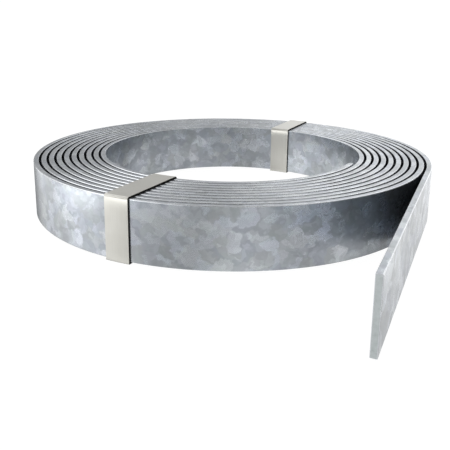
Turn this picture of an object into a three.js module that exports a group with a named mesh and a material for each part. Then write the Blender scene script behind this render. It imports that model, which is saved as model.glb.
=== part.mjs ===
// Coil of hot-dip galvanised flat steel strip.
//
// One length of 30 x 2.75 mm strip is wound on edge into ten open turns, side by
// side, and its outer end runs off the coil as a straight tail. Two flat
// strapping bands, opposite each other, hold the turns together. The coil lies
// flat on the undersides of the two bands, with its axis upright.
//
// Units are millimetres, +Z is up. Seen from above the strip winds clockwise
// from its inner end to its outer end. Angles called "turn" are counted from
// the +X direction, clockwise seen from above, in degrees.

import * as THREE from 'three';

// ---- driving dimensions -----------------------------------------------------

const STRIP_WIDTH = 30;          // height of the coil's turns, as the strip is wound on edge
const STRIP_THICKNESS = 2.75;    // the steel and its zinc coat
const PITCH = 4.14;              // radial step from one turn to the next: strip plus a 1.39 mm open gap
const MIDLINE_R0 = 74.35;        // radius of the strip's midline where the winding angle is zero
const INNER_END_ANGLE = 25.4;    // where the strip's inner end lies
const TAIL_ANGLE = 3623.65;      // where the strip leaves the coil along the tangent, ten turns later
const TAIL_LENGTH = 147.8;       // straight run from the last bend to the cut end
const TAIL_CLEAR = 30;           // how far along that run its sides become faces of their own, clear of the coil
const STEPS_PER_TURN = 64;       // straight facets in each turn of the winding

const STRAP_WIDTH = 13;
const STRAP_THICKNESS = 0.6;
const STRAP_CLEARANCE = 0.3;     // free space between a band and the strip inside it
const STRAP_CORNER = 1.2;        // outer radius where a band turns round the coil's edges
const STRAP_CORNER_STEPS = 4;
const STRAP_FRONT_ANGLE = 116.25;
const STRAP_BACK_ANGLE = 298.2;

// ---- derived dimensions -----------------------------------------------------

const STRIP_BOTTOM = STRAP_THICKNESS + STRAP_CLEARANCE;   // the bands pass under the coil
const STRIP_TOP = STRIP_BOTTOM + STRIP_WIDTH;

const rad = (deg) => deg * Math.PI / 180;

// Radius of the strip's midline at a winding angle.
const midline = (angle) => MIDLINE_R0 + PITCH * angle / 360;

// A point beside the midline: the offset is positive on the outer side.
function windingPoint(angle, offset) {
  const r = midline(angle) + offset;
  return new THREE.Vector2(r * Math.cos(rad(angle)), -r * Math.sin(rad(angle)));
}

// ---- materials --------------------------------------------------------------

function galvanisedSteel() {
  return new THREE.MeshStandardMaterial({
    name: 'galvanised_steel', color: new THREE.Color(0.60, 0.62, 0.65), roughness: 0.42, metalness: 0.9,
  });
}

function strapping() {
  return new THREE.MeshStandardMaterial({
    name: 'strapping', color: new THREE.Color(0.78, 0.76, 0.71), roughness: 0.5, metalness: 0.0,
  });
}

// ---- the strip --------------------------------------------------------------

// The strip stands on edge everywhere, so it is its own plan outline, raised by
// the strip's width: out along the outer face, across the cut end of the tail,
// and back along the inner face to the inner end.
function stripOutline() {
  const half = STRIP_THICKNESS / 2;
  const step = 360 / STEPS_PER_TURN;
  const angles = [INNER_END_ANGLE];
  for (let a = Math.ceil(INNER_END_ANGLE / step + 0.25) * step; a < TAIL_ANGLE - step * 0.25; a += step) angles.push(a);
  angles.push(TAIL_ANGLE);

  const outer = angles.map((a) => windingPoint(a, half));
  const inner = angles.map((a) => windingPoint(a, -half));

  const leave = rad(TAIL_ANGLE);
  const run = new THREE.Vector2(-Math.sin(leave), -Math.cos(leave));
  for (const side of [outer, inner]) {
    const start = side[side.length - 1];
    side.push(start.clone().addScaledVector(run, TAIL_CLEAR));
    side.push(start.clone().addScaledVector(run, TAIL_LENGTH));
  }

  return new THREE.Shape([...outer, ...inner.reverse()]);
}

function steelStrip() {
  const geometry = new THREE.ExtrudeGeometry(stripOutline(), { depth: STRIP_WIDTH, steps: 1, bevelEnabled: false });
  const mesh = new THREE.Mesh(geometry, galvanisedSteel());
  mesh.name = 'steel_strip';
  mesh.position.z = STRIP_BOTTOM;
  return mesh;
}

// ---- the two bands ----------------------------------------------------------

// A rectangle with rounded corners, for either face of a band.
function roundedRectangle(PathClass, x0, x1, y0, y1, radius) {
  const points = [];
  const corners = [[x1 - radius, y0 + radius, -90], [x1 - radius, y1 - radius, 0],
    [x0 + radius, y1 - radius, 90], [x0 + radius, y0 + radius, 180]];
  for (const [cx, cy, start] of corners) {
    for (let i = 0; i <= STRAP_CORNER_STEPS; i += 1) {
      const a = rad(start + 90 * i / STRAP_CORNER_STEPS);
      points.push(new THREE.Vector2(cx + radius * Math.cos(a), cy + radius * Math.sin(a)));
    }
  }
  return new PathClass(points);
}

// A closed loop round all ten turns. The band is straight across its width, so
// in the bore it keeps clear of the curved wall at its two edges, and outside
// it keeps clear of the wall at its middle.
function strap(name, angle) {
  const halfChord = STRAP_WIDTH / 2;
  const boreWall = midline(angle >= INNER_END_ANGLE ? angle : angle + 360) - STRIP_THICKNESS / 2;
  const outerWall = midline(3240 + angle) + STRIP_THICKNESS / 2;
  const facetSag = boreWall * (1 - Math.cos(Math.PI / STEPS_PER_TURN));
  const inside = Math.sqrt((boreWall - facetSag) ** 2 - halfChord ** 2) - STRAP_CLEARANCE;
  const outside = outerWall + STRAP_CLEARANCE;
  const bottom = STRAP_THICKNESS;
  const top = STRIP_TOP + STRAP_CLEARANCE;

  const shape = roundedRectangle(THREE.Shape, inside - STRAP_THICKNESS, outside + STRAP_THICKNESS,
    bottom - STRAP_THICKNESS, top + STRAP_THICKNESS, STRAP_CORNER);
  shape.holes.push(roundedRectangle(THREE.Path, inside, outside, bottom, top, STRAP_CORNER - STRAP_THICKNESS));
  const geometry = new THREE.ExtrudeGeometry(shape, { depth: STRAP_WIDTH, steps: 1, bevelEnabled: false, curveSegments: 1 });

  // The section is drawn with its x along the radius and its y upright.
  geometry.translate(0, 0, -halfChord);
  geometry.rotateX(Math.PI / 2);
  const mesh = new THREE.Mesh(geometry, strapping());
  mesh.name = name;
  mesh.rotation.z = -rad(angle);
  return mesh;
}

// ---- assembly ---------------------------------------------------------------

const coil = new THREE.Group();
coil.add(steelStrip());
coil.add(strap('strap_front', STRAP_FRONT_ANGLE));
coil.add(strap('strap_back', STRAP_BACK_ANGLE));

// The origin is on the floor, below the middle of the whole part's box, so the
// coil's own axis stands off it by half of what the tail adds.
coil.updateMatrixWorld(true);
const box = new THREE.Box3().setFromObject(coil, true);
const middle = box.getCenter(new THREE.Vector3());
coil.position.set(-middle.x, -middle.y, 0);

export default coil;
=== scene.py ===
"""The finish of a coil of galvanised flat steel strip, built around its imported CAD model.

One strip wound on edge into ten open turns with a straight tail, held by two flat strapping bands.
Everything is in metres in the part's own frame: +Z up, the origin on the floor below the middle of its box.
"""

import math

import bpy
import numpy as np
from mathutils import Matrix, Vector


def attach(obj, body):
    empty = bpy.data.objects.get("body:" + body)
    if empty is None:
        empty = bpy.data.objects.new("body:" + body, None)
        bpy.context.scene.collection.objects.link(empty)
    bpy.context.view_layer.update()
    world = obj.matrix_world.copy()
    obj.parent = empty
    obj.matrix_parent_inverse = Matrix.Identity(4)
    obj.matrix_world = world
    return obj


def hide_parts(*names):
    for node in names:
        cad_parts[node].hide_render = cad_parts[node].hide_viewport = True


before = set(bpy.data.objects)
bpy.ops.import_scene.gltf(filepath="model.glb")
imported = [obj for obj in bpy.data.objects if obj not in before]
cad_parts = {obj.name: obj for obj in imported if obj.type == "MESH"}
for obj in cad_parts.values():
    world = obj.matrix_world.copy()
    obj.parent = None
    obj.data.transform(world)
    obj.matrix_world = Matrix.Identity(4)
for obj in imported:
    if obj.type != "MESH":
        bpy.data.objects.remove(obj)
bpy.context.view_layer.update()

MM = 0.001

# ---- the coil's dimensions, in millimetres, as in the CAD source --------------------------------

AXIS = (-1.0350, 33.1952)  # the coil's upright axis
STRIP_WIDTH = 30.0
STRIP_THICKNESS = 2.75
PITCH = 4.14
MIDLINE_R0 = 74.35
INNER_END_ANGLE = 25.4
TAIL_ANGLE = 3623.65
TAIL_LENGTH = 147.8
STRIP_BOTTOM = 0.9
STRIP_TOP = STRIP_BOTTOM + STRIP_WIDTH
STRAP_WIDTH = 13.0
STRAP_PROUD = 0.9  # how far a band's outer face stands off the strip
# Each band: the direction it is laid in, how far its middle line misses the axis, to the side of smaller winding
# angles, and which of its edges has its rounded lip coloured near-black, 1 being that same side.
STRAPS = {"front": (116.25, -0.35, 1), "back": (295.5, -3.5, -1)}


def midline(angle):
    """Radius of the strip's midline at a winding angle, in degrees."""
    return MIDLINE_R0 + PITCH * angle / 360.0


# ---- small helpers ------------------------------------------------------------------------------


def mesh_object(name, verts, faces, normals, smooth=True):
    """A mesh from arrays, with its exact normals at the vertices."""
    mesh = bpy.data.meshes.new(name)
    mesh.from_pydata([tuple(v) for v in verts], [], faces)
    mesh.update()
    mesh.polygons.foreach_set("use_smooth", [smooth] * len(mesh.polygons))
    if normals is not None:
        mesh.normals_split_custom_set_from_vertices([tuple(n) for n in normals])
    obj = bpy.data.objects.new(name, mesh)
    bpy.context.scene.collection.objects.link(obj)
    return obj


def point_attribute(obj, name, kind, values):
    layer = obj.data.attributes.new(name, kind, "POINT")
    layer.data.foreach_set("vector" if kind == "FLOAT_VECTOR" else "value", np.asarray(values, np.float32).ravel())


class Net:
    """Shorthand for building a node tree."""

    def __init__(self, tree):
        self.tree = tree
        tree.nodes.clear()

    def put(self, socket, value):
        if isinstance(value, bpy.types.NodeSocket):
            self.tree.links.new(value, socket)
        else:
            socket.default_value = value

    def add(self, kind, inputs=None, **settings):
        node = self.tree.nodes.new(kind)
        for key, value in settings.items():
            setattr(node, key, value)
        for key, value in (inputs or {}).items():
            self.put(node.inputs[key], value)
        return node

    def math(self, operation, *values, clamp=False):
        node = self.add("ShaderNodeMath", operation=operation, use_clamp=clamp)
        for i, value in enumerate(values):
            self.put(node.inputs[i], value)
        return node.outputs[0]

    def vector(self, operation, *values):
        node = self.add("ShaderNodeVectorMath", operation=operation)
        for i, value in enumerate(values):
            self.put(node.inputs["Scale" if operation == "SCALE" and i == 1 else i], value)
        return node.outputs["Value" if operation in ("DOT_PRODUCT", "LENGTH", "DISTANCE") else "Vector"]

    def span(self, value, low, high, to_low=0.0, to_high=1.0, smooth=False):
        node = self.add("ShaderNodeMapRange", {"Value": value, "From Min": low, "From Max": high, "To Min": to_low, "To Max": to_high})
        node.interpolation_type = "SMOOTHSTEP" if smooth else "LINEAR"
        node.clamp = True
        return node.outputs[0]

    def mix(self, factor, a, b, blend="MIX"):
        node = self.add("ShaderNodeMix", data_type="RGBA", blend_type=blend)
        self.put(node.inputs[0], factor)
        self.put(node.inputs[6], a)
        self.put(node.inputs[7], b)
        return node.outputs[2]

    def ramp(self, value, stops, interpolation="LINEAR"):
        """A ramp from numbers to greys: stops are (place, grey)."""
        node = self.add("ShaderNodeValToRGB", {"Fac": value})
        ramp = node.color_ramp
        ramp.interpolation = interpolation
        while len(ramp.elements) < len(stops):
            ramp.elements.new(0.5)
        for element, (place, grey) in zip(ramp.elements, stops):
            element.position = place
            element.color = (grey, grey, grey, 1.0)
        return node.outputs["Color"]

    def noise(self, place, scale, detail=2.0, roughness=0.5, lacunarity=2.0):
        return self.add("ShaderNodeTexNoise", {"Vector": place, "Scale": scale, "Detail": detail, "Roughness": roughness, "Lacunarity": lacunarity})

    def cells(self, place, scale, randomness=1.0):
        return self.add("ShaderNodeTexVoronoi", {"Vector": place, "Scale": scale, "Randomness": randomness}, feature="F1", distance="EUCLIDEAN")

    def soft_cells(self, place, scale, smoothness):
        return self.add("ShaderNodeTexVoronoi", {"Vector": place, "Scale": scale, "Smoothness": smoothness}, feature="SMOOTH_F1", distance="EUCLIDEAN")


# ---- materials ----------------------------------------------------------------------------------


RIM_HIGHLIGHT = 0.85  # strength of the painted highlight on the strip's rounded corners


def galvanised_steel():
    """Hot-dip zinc: blotches of crystal, a little lighter or darker, rougher or smoother and bluer or greener than their neighbours.

    The pattern is laid out on the flat strip (along it, through it and across it, in millimetres), so it follows the winding.
    """
    mat = bpy.data.materials.new("galvanised_steel")
    mat.use_nodes = True
    net = Net(mat.node_tree)
    place = net.add("ShaderNodeAttribute", attribute_name="strip_place").outputs["Vector"]
    # How much painted highlight each point on a rounded corner gets.
    corner = net.add("ShaderNodeAttribute", attribute_name="strip_corner_highlight").outputs["Fac"]
    place = net.vector("SCALE", place, 1000.0)

    # The crystals lie a little longer than tall, and their outlines are lumpy.
    flat = net.vector("MULTIPLY", place, (0.88, 1.0, 0.98))
    wide = net.vector("SUBTRACT", net.noise(flat, 0.17, 0.0).outputs["Color"], (0.5, 0.5, 0.5))
    fine = net.vector("SUBTRACT", net.noise(flat, 0.50, 0.6, 0.5).outputs["Color"], (0.5, 0.5, 0.5))
    warped = net.vector("ADD", net.vector("ADD", flat, net.vector("SCALE", wide, 5.0)), net.vector("SCALE", fine, 3.0))
    large = net.soft_cells(warped, 0.165, 0.28)
    small = net.soft_cells(net.vector("ADD", warped, (31.0, 17.0, 5.0)), 0.33, 0.28)
    tiny = net.soft_cells(net.vector("ADD", warped, (3.0, 41.0, 23.0)), 0.70, 0.40)
    large_rgb = net.add("ShaderNodeSeparateColor", {"Color": large.outputs["Color"]})
    small_rgb = net.add("ShaderNodeSeparateColor", {"Color": small.outputs["Color"]})
    tiny_rgb = net.add("ShaderNodeSeparateColor", {"Color": tiny.outputs["Color"]})
    # Few levels, so that neighbours of one level join into blotches of odd shapes.
    tone_large = net.ramp(large_rgb.outputs[0], [(0.32, 0.16), (0.44, 0.46), (0.60, 0.46), (0.72, 0.90)])
    tone_small = net.ramp(small_rgb.outputs[0], [(0.36, 0.26), (0.48, 0.48), (0.64, 0.48), (0.76, 0.92)])
    # Dark oval islands, here and there.
    island = net.cells(net.vector("ADD", warped, (7.0, 3.0, 11.0)), 0.17)
    island_rgb = net.add("ShaderNodeSeparateColor", {"Color": island.outputs["Color"]})
    reach = net.span(island_rgb.outputs[0], 0.35, 1.0, 0.0, 0.30)
    inside = net.span(net.math("SUBTRACT", island.outputs["Distance"], reach), -0.05, 0.04, 1.0, 0.0, smooth=True)
    cloud = net.noise(place, 0.045, 2.0).outputs["Fac"]
    grit = net.noise(place, 3.2, 2.0, 0.6).outputs["Fac"]
    tone = net.math("MULTIPLY_ADD", tone_large, 0.52, net.math("MULTIPLY", tone_small, 0.34))
    tone = net.math("MULTIPLY_ADD", tiny_rgb.outputs[0], 0.10, tone)
    tone = net.math("SUBTRACT", tone, net.math("MULTIPLY", inside, net.math("MULTIPLY_ADD", tone, 0.62, -0.10)))
    tone = net.math("ADD", tone, net.span(cloud, 0.3, 0.7, -0.06, 0.06))
    tone = net.math("ADD", tone, net.span(grit, 0.3, 0.7, -0.015, 0.015))

    colour = net.mix(net.span(tone, 0.1, 0.95), (0.323, 0.343, 0.367, 1.0), (0.587, 0.619, 0.659, 1.0))
    # Some crystals are bluer and some greener.
    blue = net.mix(large_rgb.outputs[1], (1.008, 1.008, 0.976, 1.0), (0.980, 0.992, 1.030, 1.0))
    green = net.mix(small_rgb.outputs[1], (1.008, 0.989, 1.004, 1.0), (0.992, 1.012, 0.996, 1.0))
    colour = net.mix(1.0, net.mix(1.0, colour, blue, "MULTIPLY"), green, "MULTIPLY")
    # Painted highlight: the rounded corners are lifted towards a pale grey.
    colour = net.mix(net.math("MULTIPLY", corner, RIM_HIGHLIGHT), colour, (0.85, 0.87, 0.90, 1.0))

    rough = net.math("ADD", net.span(tone, 0.1, 0.95, 0.31, 0.25), net.span(grit, 0.3, 0.7, -0.01, 0.01))

    # Each crystal lies at a slightly different tilt, and the coat has a fine skin of its own.
    bump = net.add("ShaderNodeBump", {"Height": net.math("MULTIPLY_ADD", tone_large, 0.5, net.math("MULTIPLY", grit, 0.08)), "Strength": 0.10, "Distance": 0.00012})
    shader = net.add("ShaderNodeBsdfPrincipled", {"Base Color": colour, "Roughness": rough, "Metallic": 1.0, "Normal": bump.outputs[0]})
    out = net.add("ShaderNodeOutputMaterial")
    net.tree.links.new(shader.outputs[0], out.inputs[0])
    return mat


def cut_steel():
    """The strip's two sheared ends: plain steel with fine lines through the thickness."""
    mat = bpy.data.materials.new("cut_steel")
    mat.use_nodes = True
    net = Net(mat.node_tree)
    place = net.vector("SCALE", net.add("ShaderNodeAttribute", attribute_name="strip_place").outputs["Vector"], 1000.0)
    lines = net.noise(net.vector("MULTIPLY", place, (1.0, 0.5, 5.0)), 1.0, 3.0, 0.6).outputs["Fac"]
    blotch = net.noise(place, 0.5, 2.0).outputs["Fac"]
    tone = net.math("MULTIPLY_ADD", lines, 0.4, net.math("MULTIPLY", blotch, 0.6))
    colour = net.mix(net.span(tone, 0.3, 0.7), (0.46, 0.50, 0.50, 1.0), (0.60, 0.64, 0.65, 1.0))
    bump = net.add("ShaderNodeBump", {"Height": lines, "Strength": 0.25, "Distance": 0.00005})
    shader = net.add("ShaderNodeBsdfPrincipled", {"Base Color": colour, "Roughness": net.span(tone, 0.3, 0.7, 0.5, 0.4), "Metallic": 1.0, "Normal": bump.outputs[0]})
    out = net.add("ShaderNodeOutputMaterial")
    net.tree.links.new(shader.outputs[0], out.inputs[0])
    return mat


def strapping_face():
    """Warm off-white plastic band, drawn lengthwise: faint streaks along it and a soft satin skin."""
    mat = bpy.data.materials.new("strapping_face")
    mat.use_nodes = True
    net = Net(mat.node_tree)
    place = net.vector("SCALE", net.add("ShaderNodeAttribute", attribute_name="band_place").outputs["Vector"], 1000.0)
    streaks = net.noise(net.vector("MULTIPLY", place, (0.06, 2.2, 1.0)), 1.0, 3.0, 0.6).outputs["Fac"]
    cloud = net.noise(place, 0.09, 2.0).outputs["Fac"]
    tone = net.math("MULTIPLY_ADD", streaks, 0.5, net.math("MULTIPLY", cloud, 0.5))
    colour = net.mix(net.span(tone, 0.3, 0.7), (0.554, 0.546, 0.504, 1.0), (0.614, 0.608, 0.570, 1.0))
    bump = net.add("ShaderNodeBump", {"Height": streaks, "Strength": 0.3, "Distance": 0.00004})
    shader = net.add("ShaderNodeBsdfPrincipled", {"Base Color": colour, "Roughness": net.span(tone, 0.3, 0.7, 0.30, 0.36), "Metallic": 0.9, "Normal": bump.outputs[0]})
    out = net.add("ShaderNodeOutputMaterial")
    net.tree.links.new(shader.outputs[0], out.inputs[0])
    return mat


def strapping_edge():
    """The band's slit sides, coloured near-black."""
    mat = bpy.data.materials.new("strapping_edge")
    mat.use_nodes = True
    net = Net(mat.node_tree)
    place = net.vector("SCALE", net.add("ShaderNodeAttribute", attribute_name="band_place").outputs["Vector"], 1000.0)
    fray = net.noise(place, 1.4, 3.0, 0.6).outputs["Fac"]
    colour = net.mix(net.span(fray, 0.35, 0.7), (0.010, 0.010, 0.009, 1.0), (0.026, 0.025, 0.022, 1.0))
    shader = net.add("ShaderNodeBsdfPrincipled", {"Base Color": colour, "Roughness": 0.75, "Specular IOR Level": 0.2})
    out = net.add("ShaderNodeOutputMaterial")
    net.tree.links.new(shader.outputs[0], out.inputs[0])
    return mat


# ---- the strip ----------------------------------------------------------------------------------

CORNER = 0.5  # radius of the strip's rolled edge at the top of its outer face, which gets the strongest painted highlight
OTHER_CORNER = 0.3  # and of its three other edges
CORNER_STEPS = 4
END_ROUND = 0.28  # how far the two cut ends are rounded over


def strip_section():
    """The section round the strip: (through, up) points from the outer face's top corner, down it and round, with their
    normals, and how much painted highlight each gets on its rounded corner.
    """
    half = STRIP_THICKNESS / 2
    # Each corner: which side, top or bottom, where its arc starts, its radius and the strength of its painted
    # highlight.
    corners = [(1, 1, 90.0, CORNER, 1.0), (1, 0, 0.0, OTHER_CORNER, 0.1), (-1, 0, -90.0, OTHER_CORNER, 0.1), (-1, 1, -180.0, OTHER_CORNER, 0.4)]
    points, normals, share = [], [], []
    for side, top, start, radius, highlight_strength in corners:
        cx, cz = side * (half - radius), STRIP_WIDTH - radius if top else radius
        for i in range(CORNER_STEPS + 1):
            a = math.radians(start - 90.0 * i / CORNER_STEPS)
            points.append((cx + radius * math.cos(a), cz + radius * math.sin(a)))
            normals.append((math.cos(a), math.sin(a)))
            share.append(highlight_strength * min(1.0, 1.5 * math.sin(math.pi * i / CORNER_STEPS)))
    return np.array(points), np.array(normals), np.array(share)


def strip_stations():
    """Along the strip: the winding angle, how far down the tail, the inset of an end's rounding and the lean of its normals, and the length so far."""
    angles = [INNER_END_ANGLE] + list(np.arange(math.ceil(INNER_END_ANGLE / 2 + 0.3) * 2, TAIL_ANGLE - 0.6, 2.0)) + [TAIL_ANGLE]
    rows = [(a, 0.0) for a in angles]
    rows += [(TAIL_ANGLE, s) for s in np.linspace(0, TAIL_LENGTH, 37)[1:]]
    place = [0.0]
    for (a0, s0), (a1, s1) in zip(rows, rows[1:]):
        place.append(place[-1] + math.radians(a1 - a0) * midline((a0 + a1) / 2) + (s1 - s0))
    stations = [[a, s, 0.0, 0.0, p] for (a, s), p in zip(rows, place)]
    return np.array(stations)


def strip_map(points, at):
    """A flat map of the strip for baking: its sides cut into lengths and laid in shelves, with what is seen given the most room."""
    ring, length, page, gap = len(points), at[-1], 1024.0, 3.0
    steps = CORNER_STEPS
    outer, inner = steps, 3 * steps + 2  # ring segments that are the two walls
    top = [(3 * steps + 3 + n) % ring for n in range(2 * steps + 1)]
    bottom = [steps + 1 + n for n in range(2 * steps + 1)]
    turn = math.radians(360.0)
    last_turn = length - TAIL_LENGTH - turn * midline(TAIL_ANGLE)
    bore_turn = turn * midline(INNER_END_ANGLE + 180.0) + 20.0
    tail = length - TAIL_LENGTH - 30.0
    # ring segments, from, to, pixels per millimetre along, height in pixels, cut into how many lengths
    parts = [
        ([outer], last_turn, length, 3.3, 99.0, 3),
        ([inner], tail, length, 3.3, 99.0, 1),
        ([inner], 0.0, bore_turn, 2.4, 72.0, 3),
        ([outer], 0.0, last_turn, 0.72, 21.0, 4),
        ([inner], bore_turn, tail, 0.70, 21.0, 4),
        (top, 0.0, length, 2.5, 11.0, 16),
        (bottom, 0.0, length, 1.2, 6.0, 8),
    ]
    pieces = []
    for segments, start, end, density, height, cuts in parts:
        marks = np.searchsorted(at, np.linspace(start, end, cuts + 1) - 0.01)
        for first, last in zip(marks, marks[1:]):
            pieces.append((height, (at[last] - at[first]) * density, segments, first, last, density))
    pieces.sort(key=lambda piece: -piece[0])
    uv = np.zeros((len(at) - 1, ring, 4, 2))
    x = y = gap
    shelf = 0.0
    for height, width, segments, first, last, density in pieces:
        if x + width > page - gap:
            x, y, shelf = gap, y + shelf + gap, 0.0
        shelf = max(shelf, height)
        across = np.array([np.linalg.norm(points[(j + 1) % ring] - points[j]) for j in segments])
        level = y + height * np.concatenate([[0.0], np.cumsum(across)]) / across.sum()
        run = x + (at[first : last + 1] - at[first]) * density
        for n, j in enumerate(segments):
            for corner, (step, rise) in enumerate(((0, 0), (1, 0), (1, 1), (0, 1))):
                uv[first:last, j, corner, 0] = run[step : len(run) - 1 + step]
                uv[first:last, j, corner, 1] = level[n + rise]
        x += width + gap
    # The two cut ends stand side by side on a shelf of their own at the top.
    y += shelf + gap
    flat = (points - points.min(0)) * (1.0, 0.6)
    ends = [flat * 1.6 + (gap, y), flat[::-1] * 1.6 + (gap + 20.0, y)]
    return np.concatenate([uv.reshape(-1, 2)] + ends) / page


def build_strip():
    points, normals, share = strip_section()
    ring = len(points)
    stations = strip_stations()
    length = stations[-1, 4]

    # The ends are rounded over: rings that close in as they near the cut.
    def rounding(sign):
        steps = []
        for i in range(1, 4):
            a = math.pi / 2 * i / 3
            steps.append((END_ROUND * (1 - math.cos(a)), sign * math.sin(a), END_ROUND * (1 - math.sin(a))))
        return steps

    rows = []
    first, last = stations[0], stations[-1]
    for inset, lean, back in reversed(rounding(-1.0)):
        rows.append((first[0] + math.degrees(back / midline(first[0])), 0.0, inset, lean, back))
    start = END_ROUND
    rows.append((first[0] + math.degrees(start / midline(first[0])), 0.0, 0.0, 0.0, start))
    rows += [tuple(r) for r in stations[1:-1]]
    rows.append((last[0], last[1] - END_ROUND, 0.0, 0.0, length - END_ROUND))
    for inset, lean, back in rounding(1.0):
        rows.append((last[0], last[1] - back, inset, lean, length - back))

    verts, norms, place, corner = [], [], [], []
    for angle, tail, inset, lean, at in rows:
        a = math.radians(angle)
        out = np.array([math.cos(a), -math.sin(a)])
        run = np.array([-math.sin(a), -math.cos(a)])
        upright = math.sqrt(max(0.0, 1.0 - lean * lean))
        for (u, z), (nu, nz), c in zip(points, normals, share):
            u, z = u - inset * nu, z - inset * nz
            xy = (midline(angle) + u) * out + tail * run
            verts.append(((xy[0] + AXIS[0]) * MM, (xy[1] + AXIS[1]) * MM, (z + STRIP_BOTTOM) * MM))
            flat = upright * nu * out + lean * run
            norms.append((flat[0], flat[1], upright * nz))
            place.append((at * MM, u * MM, z * MM))
            # The rounded-over ends get the same painted highlight.
            corner.append(max(c, min(1.0, 1.5 * 2 * abs(lean) * upright)))

    faces = []
    for i in range(len(rows) - 1):
        for j in range(ring):
            k = (j + 1) % ring
            faces.append((i * ring + j, (i + 1) * ring + j, (i + 1) * ring + k, i * ring + k))
    base = (len(rows) - 1) * ring
    faces.append(tuple(range(ring)))
    faces.append(tuple(base + j for j in reversed(range(ring))))

    obj = mesh_object("steel_strip_coil", verts, faces, norms)
    point_attribute(obj, "strip_place", "FLOAT_VECTOR", place)
    # Where the painted corner highlight lies, point by point.
    point_attribute(obj, "strip_corner_highlight", "FLOAT", corner)
    layer = obj.data.uv_layers.new(name="OFBake")
    layer.data.foreach_set("uv", strip_map(points, np.array([row[4] for row in rows])).astype(np.float32).ravel())
    obj.data.materials.append(galvanised_steel())
    obj.data.materials.append(cut_steel())
    for index in (-2, -1):
        obj.data.polygons[len(faces) + index].material_index = 1
    return obj


# ---- the bands ----------------------------------------------------------------------------------

BAND_CORNER = 1.3  # outer radius where a band turns round the coil's upper edges
BAND_LOW_CORNER = 0.45  # and its lower ones, where the coil's weight sets it down on the floor
BAND_INNER_CORNER = 0.15
BAND_GAP = 0.05  # free space left between a band and the strip, so the two never cut
BAND_LIP = 0.18  # rounding of a band's slit edges
BAND_DARK_LIP = 0.10  # how far the near-black colour reaches round the rounded lip of one edge
BAND_EASE = 13.0  # degrees by which an upright face's normals still lean where it leaves a bend
BAND_EASE_LENGTH = 2.2  # and the length over which that eases


def wall_x(radius_at, angle, y):
    """How far out, in a band's own direction, a wall of the coil lies at y to the side of the axis."""
    x = radius_at(angle)
    for _ in range(4):
        x = math.sqrt(radius_at(angle - math.degrees(math.atan2(y, x))) ** 2 - y * y)
    return x


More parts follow.
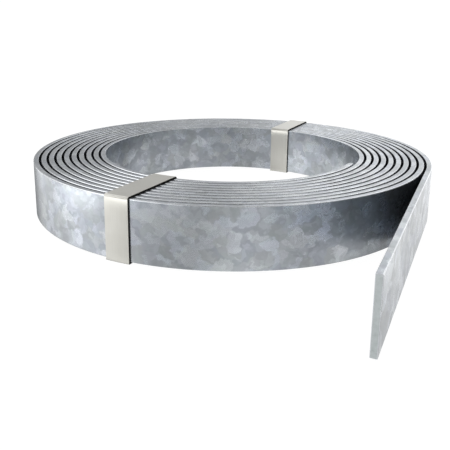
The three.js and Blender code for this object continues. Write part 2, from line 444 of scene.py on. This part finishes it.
def build_band(name, angle, offset, dark_lip_side):
    half = STRAP_WIDTH / 2
    bore_turn = 360.0 if angle < INNER_END_ANGLE else 0.0

    def bore_at(a):
        return midline(a + bore_turn) - STRIP_THICKNESS / 2

    def wall_at(a):
        return midline(3240.0 + a) + STRIP_THICKNESS / 2

    bore, wall = wall_x(bore_at, angle, offset), wall_x(wall_at, angle, offset)
    middle = (bore + wall) / 2

    def loop(x0, x1, z0, z1, r, low):
        """A rounded rectangle in the band's upright plane: its corners and straights, in the same number of steps
        whatever its size.

        The band is stiff, so where its upright faces leave the bends their normals still lean a little and ease to
        level over a few millimetres; the faces themselves stay upright.
        """
        pts, nrm = [], []
        corners = [(x1 - low, z0 + low, -90, low), (x1 - r, z1 - r, 0, r), (x0 + r, z1 - r, 90, r), (x0 + low, z0 + low, 180, low)]
        runs = [24, 24, 24, 24]  # steps along the straight after each corner: outer wall, top, bore, underside
        for n, (cx, cz, start, bend) in enumerate(corners):
            upright_last = n % 2 == 0  # this corner's arc ends on an upright face, rather than starting on one
            for i in range(8):
                t = i / 7
                a = math.radians(start + 90 * t)
                lean_now = BAND_EASE * ((1 - t) * (not upright_last) - t * upright_last)
                b = a + math.radians(lean_now)
                pts.append((cx + bend * math.cos(a), cz + bend * math.sin(a)))
                nrm.append((math.cos(b), math.sin(b)))
            nx, nz, _, following = corners[(n + 1) % 4]
            a = math.radians(start + 90)
            begin, end = pts[-1], (nx + following * math.cos(a), nz + following * math.sin(a))
            reach = math.dist(begin, end)
            for i in range(1, runs[n]):
                t = (1 - math.cos(math.pi * i / runs[n])) / 2 if upright_last else i / runs[n]
                near, far = math.exp(-t * reach / BAND_EASE_LENGTH), math.exp(-(1 - t) * reach / BAND_EASE_LENGTH)
                b = a + math.radians(BAND_EASE * (far - near) * upright_last)
                pts.append((begin[0] + (end[0] - begin[0]) * t, begin[1] + (end[1] - begin[1]) * t))
                nrm.append((math.cos(b), math.sin(b)))
        return np.array(pts), np.array(nrm)

    outer_p, outer_n = loop(bore - STRAP_PROUD, wall + STRAP_PROUD, 0.0, STRIP_TOP + STRAP_PROUD, BAND_CORNER, BAND_LOW_CORNER)
    inner_p, _ = loop(bore - BAND_GAP, wall + BAND_GAP, STRIP_BOTTOM - BAND_GAP, STRIP_TOP + BAND_GAP, BAND_INNER_CORNER, BAND_INNER_CORNER)
    count = len(outer_p)
    along = np.concatenate([[0.0], np.cumsum(np.linalg.norm(np.roll(outer_p, -1, 0) - outer_p, axis=1))])

    a = math.radians(angle)
    out = np.array([math.cos(a), -math.sin(a), 0.0])
    side = np.array([math.sin(a), math.cos(a), 0.0])  # towards smaller winding angles
    up = np.array([0.0, 0.0, 1.0])

    # The section across the band, as (y, depth, how much the normal faces out, how much sideways), round from the outer
    # face.
    flat, turn = 10, 4
    reach = half - BAND_LIP
    spread = np.linspace(-reach, reach, flat + 1)
    lip_depth = BAND_LIP / (STRAP_PROUD - BAND_GAP)
    section = [(y, 0.0, 1.0, 0.0) for y in spread]
    for k in range(1, turn + 1):
        t = math.pi / 2 * k / turn
        section.append((half - BAND_LIP + BAND_LIP * math.sin(t), lip_depth * (1 - math.cos(t)), math.cos(t), math.sin(t)))
    for k in range(turn, 0, -1):
        t = math.pi / 2 * k / turn
        section.append((half - BAND_LIP + BAND_LIP * math.sin(t), 1 - lip_depth * (1 - math.cos(t)), -math.cos(t), math.sin(t)))
    section += [(-y, 1.0, -1.0, 0.0) for y in spread]
    for k in range(1, turn + 1):
        t = math.pi / 2 * k / turn
        section.append((-half + BAND_LIP - BAND_LIP * math.sin(t), 1 - lip_depth * (1 - math.cos(t)), -math.cos(t), -math.sin(t)))
    for k in range(turn, 0, -1):
        t = math.pi / 2 * k / turn
        section.append((-half + BAND_LIP - BAND_LIP * math.sin(t), lip_depth * (1 - math.cos(t)), math.cos(t), -math.sin(t)))
    width = len(section)
    round_section = np.concatenate([[0.0], np.cumsum([math.hypot(b[0] - c[0], (b[1] - c[1]) * 0.85) for b, c in zip(section[1:] + section[:1], section)])])

    verts, norms, place = [], [], []
    for i in range(count):
        for y, depth, n_out, n_side in section:
            x, z = outer_p[i] * (1 - depth) + inner_p[i] * depth
            far = y + offset
            at_wall = wall_at if x > middle else bore_at
            # The band follows the coil's round walls, and this fades to nothing along its flat top and underside.
            fade = min(1.0, abs(x - middle) / ((wall - bore) / 2)) ** 3
            follow = (wall_x(at_wall, angle, far) - wall_x(at_wall, angle, offset)) * fade
            slope = (wall_x(at_wall, angle, far + 0.5) - wall_x(at_wall, angle, far - 0.5)) * fade
            pos = out * (x + follow) + side * far + up * z
            flat_out = out - side * slope
            flat_out /= np.linalg.norm(flat_out)
            across = side + out * slope
            across /= np.linalg.norm(across)
            n = flat_out * outer_n[i][0] * n_out + up * outer_n[i][1] * n_out + across * n_side
            verts.append(((pos[0] + AXIS[0]) * MM, (pos[1] + AXIS[1]) * MM, pos[2] * MM))
            norms.append(tuple(n / np.linalg.norm(n)))
            place.append((along[i] * MM, y * MM, depth * 0.85 * MM))
    faces, slots, corners = [], [], []
    for i in range(count):
        n = (i + 1) % count
        for k in range(width):
            m = (k + 1) % width
            faces.append((i * width + k, i * width + m, n * width + m, n * width + k))
            # The slit sides, and the rounded lip of one edge, are coloured near-black.
            slit = min(section[k][1], section[m][1]) >= lip_depth * 0.99 and max(section[k][1], section[m][1]) <= 1 - lip_depth * 0.99
            dark_lip = dark_lip_side * (section[k][0] + section[m][0]) / 2 > half - BAND_DARK_LIP
            slots.append(1 if slit or dark_lip else 0)
            u0, u1 = 0.01 + 0.98 * along[i] / along[-1], 0.01 + 0.98 * along[i + 1] / along[-1]
            v0, v1 = 0.01 + 0.98 * round_section[k] / round_section[-1], 0.01 + 0.98 * round_section[k + 1] / round_section[-1]
            corners += [(u0, v0), (u0, v1), (u1, v1), (u1, v0)]
    obj = mesh_object(name, verts, faces, norms)
    point_attribute(obj, "band_place", "FLOAT_VECTOR", place)
    layer = obj.data.uv_layers.new(name="OFBake")
    layer.data.foreach_set("uv", np.array(corners, np.float32).ravel())
    obj.data.materials.append(materials["face"])
    obj.data.materials.append(materials["edge"])
    obj.data.polygons.foreach_set("material_index", slots)
    return obj


# ---- make the pieces ----------------------------------------------------------------------------

strip = build_strip()
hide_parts("steel_strip")
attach(strip, "root")

materials = {"face": strapping_face(), "edge": strapping_edge()}
for where, (angle, offset, dark_lip_side) in STRAPS.items():
    band = build_band("strapping_band_" + where, angle, offset, dark_lip_side)
    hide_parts("strap_" + where)
    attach(band, "root")

# ---- the floor, the light and the camera --------------------------------------------------------

scene = bpy.context.scene
scene.view_settings.view_transform = "Standard"
scene.view_settings.look = "None"
scene.view_settings.exposure = 0.0
scene.view_settings.gamma = 1.0

floor_mesh = bpy.data.meshes.new("floor")
SIDE = 40.0
floor_mesh.from_pydata([(-SIDE, -SIDE, 0), (SIDE, -SIDE, 0), (SIDE, SIDE, 0), (-SIDE, SIDE, 0)], [], [(0, 1, 2, 3)])
floor = bpy.data.objects.new("floor", floor_mesh)
scene.collection.objects.link(floor)
floor_mat = bpy.data.materials.new("pale_floor")
floor_mat.use_nodes = True
net = Net(floor_mat.node_tree)
pale = net.add("ShaderNodeBsdfDiffuse", {"Color": (0.13, 0.13, 0.13, 1.0), "Roughness": 0.0})
glow = net.add("ShaderNodeEmission", {"Color": (1.0, 1.0, 1.0, 1.0), "Strength": 0.96})
both = net.add("ShaderNodeAddShader")
net.tree.links.new(pale.outputs[0], both.inputs[0])
net.tree.links.new(glow.outputs[0], both.inputs[1])
out = net.add("ShaderNodeOutputMaterial")
net.tree.links.new(both.outputs[0], out.inputs[0])
floor_mesh.materials.append(floor_mat)
# The floor is seen and takes the coil's soft shadow, but the coil itself is lit from all round, as on a glass table in a light tent.
floor.visible_diffuse = False
floor.visible_glossy = False
floor.visible_shadow = False
floor.visible_transmission = False

# Soft glows in the table's frosted glass, beside the coil and beside its tail: x, y and spread in millimetres, strength.
GLOWS = [
    (-202.2, -60.6, 28.0, 3.27),
    (128.2, -88.9, 18.0, 1.59),
]
glow_mesh = bpy.data.meshes.new("table_glow")
REACH = 0.6
glow_mesh.from_pydata([(-REACH, -REACH, -MM), (REACH, -REACH, -MM), (REACH, REACH, -MM), (-REACH, REACH, -MM)], [], [(0, 1, 2, 3)])
table_glow = bpy.data.objects.new("table_glow", glow_mesh)
scene.collection.objects.link(table_glow)
glow_mat = bpy.data.materials.new("table_glow")
glow_mat.use_nodes = True
glow_mat.cycles.emission_sampling = "NONE"
net = Net(glow_mat.node_tree)
spot = net.add("ShaderNodeNewGeometry").outputs["Position"]
total = None
for x, y, spread, strength in GLOWS:
    away = net.math("DIVIDE", net.vector("DISTANCE", spot, (x * MM, y * MM, -MM)), spread * MM)
    glow = net.math("MULTIPLY", net.math("EXPONENT", net.math("MULTIPLY", net.math("MULTIPLY", away, away), -0.5)), strength)
    total = glow if total is None else net.math("ADD", total, glow)
both = net.add("ShaderNodeAddShader")
net.tree.links.new(net.add("ShaderNodeEmission", {"Color": (1.0, 1.0, 1.0, 1.0), "Strength": total}).outputs[0], both.inputs[0])
net.tree.links.new(net.add("ShaderNodeBsdfTransparent").outputs[0], both.inputs[1])
out = net.add("ShaderNodeOutputMaterial")
net.tree.links.new(both.outputs[0], out.inputs[0])
glow_mesh.materials.append(glow_mat)
table_glow.visible_camera = False

# Soft lobes of light round the studio: azimuth (0 is +X, 90 is +Y), elevation, sharpness, strength.
LOBES = [
    (0.0, 90.0, 6.0, 0.60),
    (60.0, 40.0, 20.0, 2.73),
    (120.0, 40.0, 20.0, 1.94),
    (180.0, 40.0, 20.0, 2.38),
    (320.0, 35.0, 20.0, 1.20),
    (160.0, 22.0, 40.0, 1.76),
    (80.0, 8.0, 45.0, 1.40),
    (100.0, 8.0, 45.0, 0.56),
    (200.0, 8.0, 45.0, 2.21),
    (220.0, 8.0, 45.0, 2.63),
    (240.0, 8.0, 45.0, 1.85),
    (40.0, 5.0, 45.0, 1.50),
    (280.0, 8.0, 45.0, 1.94),
    (0.0, -6.0, 45.0, 1.16),
    (20.0, -6.0, 45.0, 1.36),
    (60.0, -6.0, 45.0, 2.13),
    (140.0, -6.0, 45.0, 1.90),
    (200.0, -6.0, 45.0, 1.05),
    (220.0, -6.0, 45.0, 0.75),
    (240.0, -6.0, 45.0, 0.60),
    (260.0, -6.0, 45.0, 0.47),
    (300.0, -6.0, 45.0, 0.83),
    (160.0, -20.0, 20.0, 0.89),
    (180.0, -20.0, 40.0, 1.00),
    (320.0, -20.0, 20.0, 0.68),
    (340.0, -20.0, 40.0, 0.76),
    (200.0, -35.0, 20.0, 1.26),
    (280.0, -35.0, 20.0, 1.56),
    (60.0, -36.0, 20.0, 1.22),
    (240.0, -36.0, 20.0, 0.64),
    (0.0, -90.0, 6.0, 1.40),
]
BASE_LIGHT = 0.000

world = bpy.data.worlds.new("studio")
scene.world = world
world.use_nodes = True
net = Net(world.node_tree)
direction = net.add("ShaderNodeTexCoord").outputs["Generated"]
total = None
for azimuth, elevation, sharpness, strength in LOBES:
    a, e = math.radians(azimuth), math.radians(elevation)
    toward = (math.cos(a) * math.cos(e), math.sin(a) * math.cos(e), math.sin(e))
    facing = net.math("MAXIMUM", net.vector("DOT_PRODUCT", direction, toward), 0.0)
    lobe = net.math("MULTIPLY", net.math("POWER", facing, sharpness), strength)
    total = lobe if total is None else net.math("ADD", total, lobe)
total = net.math("ADD", total, BASE_LIGHT)
lit = net.add("ShaderNodeBackground", {"Color": (1.0, 1.0, 1.0, 1.0), "Strength": total})
seen = net.add("ShaderNodeBackground", {"Color": (1.0, 1.0, 1.0, 1.0), "Strength": 1.05})
camera_ray = net.add("ShaderNodeLightPath").outputs["Is Camera Ray"]
both = net.add("ShaderNodeMixShader", {0: camera_ray})
net.tree.links.new(lit.outputs[0], both.inputs[1])
net.tree.links.new(seen.outputs[0], both.inputs[2])
out = net.add("ShaderNodeOutputWorld")
net.tree.links.new(both.outputs[0], out.inputs[0])

# The camera: low over the front of the coil, turned a little about its own line of sight.
camera_data = bpy.data.cameras.new("camera")
camera_data.sensor_width = 36.0
camera_data.lens = 597.68 / 450.0 * 36.0
camera_data.shift_x = (225.0 - 228.0) / 450.0  # the picture is cut from a larger one, so its middle isn't on the line of sight
camera_data.shift_y = (158.92 - 225.0) / 450.0
camera_data.clip_start = 0.01
camera_data.clip_end = 200.0
camera = bpy.data.objects.new("camera", camera_data)
scene.collection.objects.link(camera)
look = Vector((0.0, 0.97334, -0.22937)).normalized()
right = Vector((1.0, 0.0, 0.0))
above = right.cross(look)
roll = math.radians(0.682)
right, above = right * math.cos(roll) + above * math.sin(roll), above * math.cos(roll) - right * math.sin(roll)
camera.matrix_world = Matrix((
    (right[0], above[0], -look[0], -2.400 * MM),
    (right[1], above[1], -look[1], -324.31 * MM),
    (right[2], above[2], -look[2], 109.07 * MM),
    (0.0, 0.0, 0.0, 1.0),
))
scene.camera = camera

bpy.context.view_layer.update()
